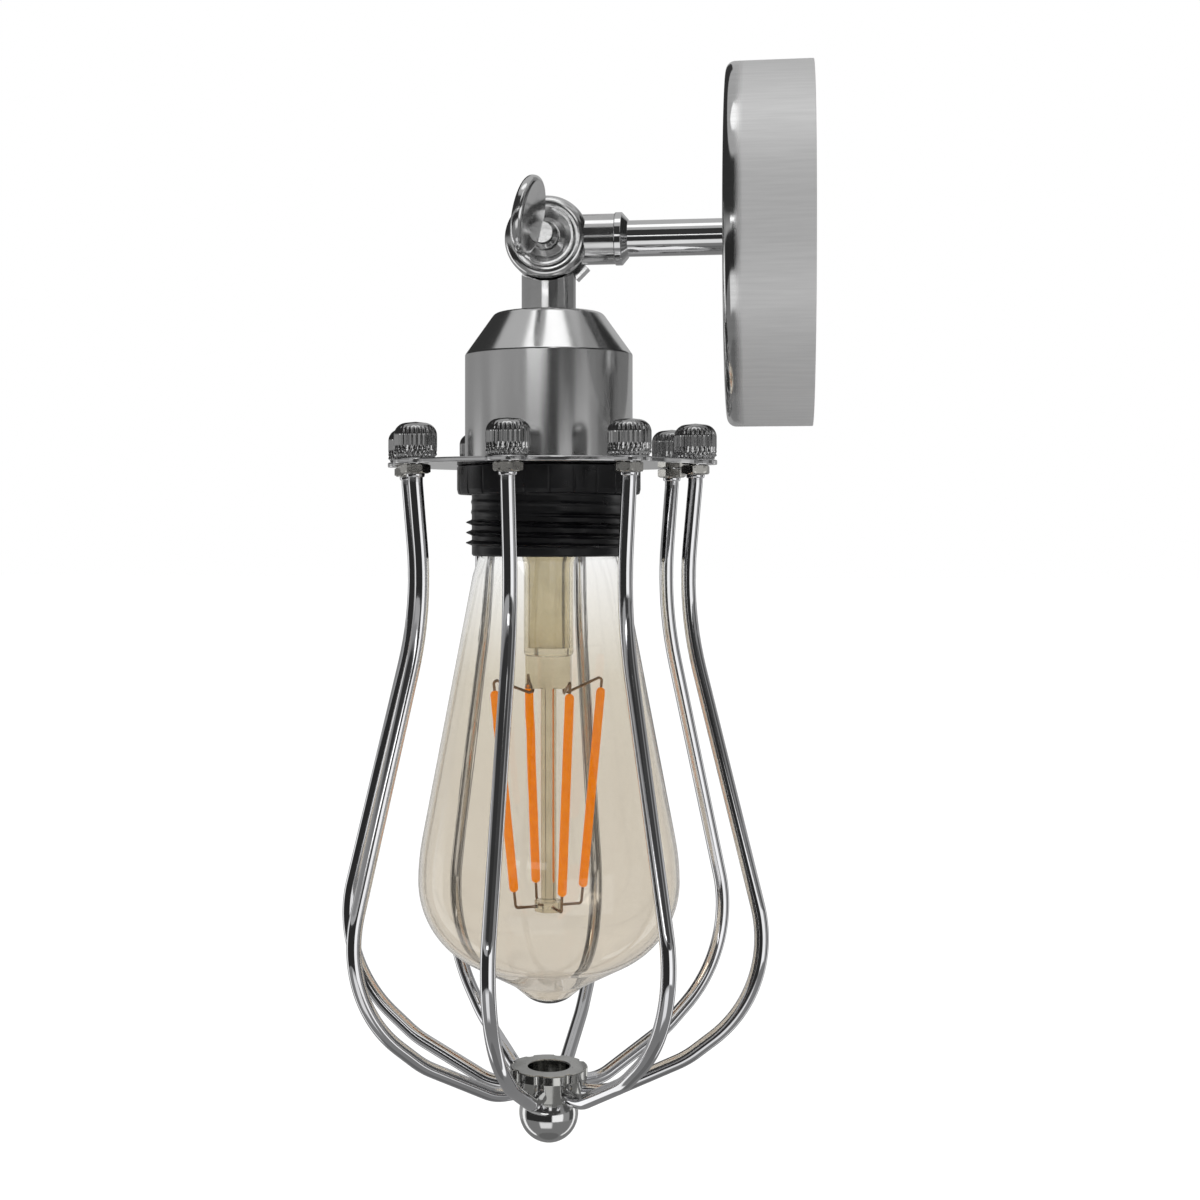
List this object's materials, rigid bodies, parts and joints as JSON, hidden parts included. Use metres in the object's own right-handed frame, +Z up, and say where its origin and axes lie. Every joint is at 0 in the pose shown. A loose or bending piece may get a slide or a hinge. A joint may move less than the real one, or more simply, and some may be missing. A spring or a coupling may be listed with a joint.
{
  "type": "cage wall light",
  "caption": "Wall light with a round rose, a short stem, a tilting knuckle and a lampholder, whose filament bulb sits in an open cage of bent rods.",
  "frame": {"origin": "at the centre of the rose's open back, on the wall", "axes": "+Y into the wall, +Z up, so the lamp hangs in front of the wall along -Y; +X completes a right-handed frame and points along the thumb screw"},
  "size_m": [0.1072, 0.1176, 0.2621],
  "materials": {
    "satin_chrome": "satin",
    "polished_chrome": "polished",
    "black_chrome": "satin",
    "gunmetal": "polished",
    "zinc_steel": "zinc plated",
    "brass": "plain",
    "aluminium": "plain",
    "support_wire": "oxidised",
    "black_plastic": "semi-gloss",
    "white_plastic": "matte",
    "wire_sheath": "matte",
    "ceramic": "glazed ceramic",
    "amber_glass": "clear with an amber tint",
    "clear_glass": "clear",
    "black_glass": "glossy insulator with a tinned contact",
    "filament": "phosphor coated strip"
  },
  "bodies": {
    "wall_body": {"rose_cover": "satin_chrome", "wall_strap": "zinc_steel", "grub_screws": "zinc_steel", "stem_nut": "brass", "stem_washer": "zinc_steel", "terminal_block": "white_plastic", "terminal_tubes": "brass", "terminal_screws": "zinc_steel", "earth_screw": "brass", "stem_wires": "wire_sheath", "stem_tube": "polished_chrome", "stem_ring": "polished_chrome", "knuckle_fixed": "polished_chrome", "dished_washer": "polished_chrome"},
    "head": {"knuckle_tilting": "polished_chrome", "cup": "polished_chrome", "nipple": "zinc_steel", "nipple_nut": "zinc_steel", "holder_dome": "black_plastic", "holder_insert": "ceramic", "screw_shell": "brass", "centre_contact": "brass", "holder_screws": "zinc_steel", "head_wires": "wire_sheath", "holder_skirt": "black_plastic", "cage_plate": "polished_chrome"},
    "pivot_screw": {"thumb_screw": "polished_chrome"},
    "ring": {"shade_ring": "black_plastic"},
    "bulb": {"bulb_glass": "amber_glass", "bulb_cap": "aluminium", "bulb_contact": "black_glass", "bulb_stem": "clear_glass", "bulb_supports": "support_wire", "bulb_filaments": "filament"},
    "basket": {"rod_1": "polished_chrome", "rod_2": "polished_chrome", "rod_3": "polished_chrome", "rod_4": "polished_chrome", "rod_5": "polished_chrome", "rod_6": "polished_chrome", "rod_7": "polished_chrome", "rod_8": "polished_chrome", "hex_nuts": "black_chrome", "cage_hub": "black_chrome", "ball_finial": "polished_chrome"},
    "nut_1": {"thumb_nut_1": "gunmetal"},
    "nut_2": {"thumb_nut_2": "gunmetal"},
    "nut_3": {"thumb_nut_3": "gunmetal"},
    "nut_4": {"thumb_nut_4": "gunmetal"},
    "nut_5": {"thumb_nut_5": "gunmetal"},
    "nut_6": {"thumb_nut_6": "gunmetal"},
    "nut_7": {"thumb_nut_7": "gunmetal"},
    "nut_8": {"thumb_nut_8": "gunmetal"}
  },
  "joints": [
    {"name": "knuckle_tilt", "type": "hinge", "parent": "wall_body", "child": "head", "pos_m": [0, -0.064, 0.0025], "axis": [-1, 0, 0], "range_deg": [0, 180]},
    {"name": "thumb_screw_turn", "type": "hinge", "parent": "head", "child": "pivot_screw", "pos_m": [0, -0.064, 0.0025], "axis": [1, 0, 0], "continuous": true},
    {"name": "shade_ring_turn", "type": "hinge", "parent": "head", "child": "ring", "pos_m": [0, -0.064, -0.0565], "axis": [0, 0, 1], "continuous": true},
    {"name": "bulb_unscrew", "type": "hinge", "parent": "head", "child": "bulb", "pos_m": [0, -0.064, -0.0675], "axis": [0, 0, 1], "continuous": true},
    {"name": "cage_lift_off", "type": "slide", "parent": "head", "child": "basket", "axis": [0, 0, -1], "range_m": [0, 0.15]},
    {"name": "thumb_nut_1_turn", "type": "hinge", "parent": "head", "child": "nut_1", "pos_m": [0.03607, -0.06875, -0.0475], "axis": [0, 0, 1], "continuous": true},
    {"name": "thumb_nut_2_turn", "type": "hinge", "parent": "head", "child": "nut_2", "pos_m": [0.02886, -0.04185, -0.0475], "axis": [0, 0, 1], "continuous": true},
    {"name": "thumb_nut_3_turn", "type": "hinge", "parent": "head", "child": "nut_3", "pos_m": [0.00475, -0.02793, -0.0475], "axis": [0, 0, 1], "continuous": true},
    {"name": "thumb_nut_4_turn", "type": "hinge", "parent": "head", "child": "nut_4", "pos_m": [-0.02215, -0.03514, -0.0475], "axis": [0, 0, 1], "continuous": true},
    {"name": "thumb_nut_5_turn", "type": "hinge", "parent": "head", "child": "nut_5", "pos_m": [-0.03607, -0.05925, -0.0475], "axis": [0, 0, 1], "continuous": true},
    {"name": "thumb_nut_6_turn", "type": "hinge", "parent": "head", "child": "nut_6", "pos_m": [-0.02886, -0.08615, -0.0475], "axis": [0, 0, 1], "continuous": true},
    {"name": "thumb_nut_7_turn", "type": "hinge", "parent": "head", "child": "nut_7", "pos_m": [-0.00475, -0.10007, -0.0475], "axis": [0, 0, 1], "continuous": true},
    {"name": "thumb_nut_8_turn", "type": "hinge", "parent": "head", "child": "nut_8", "pos_m": [0.02215, -0.09286, -0.0475], "axis": [0, 0, 1], "continuous": true}
  ]
}
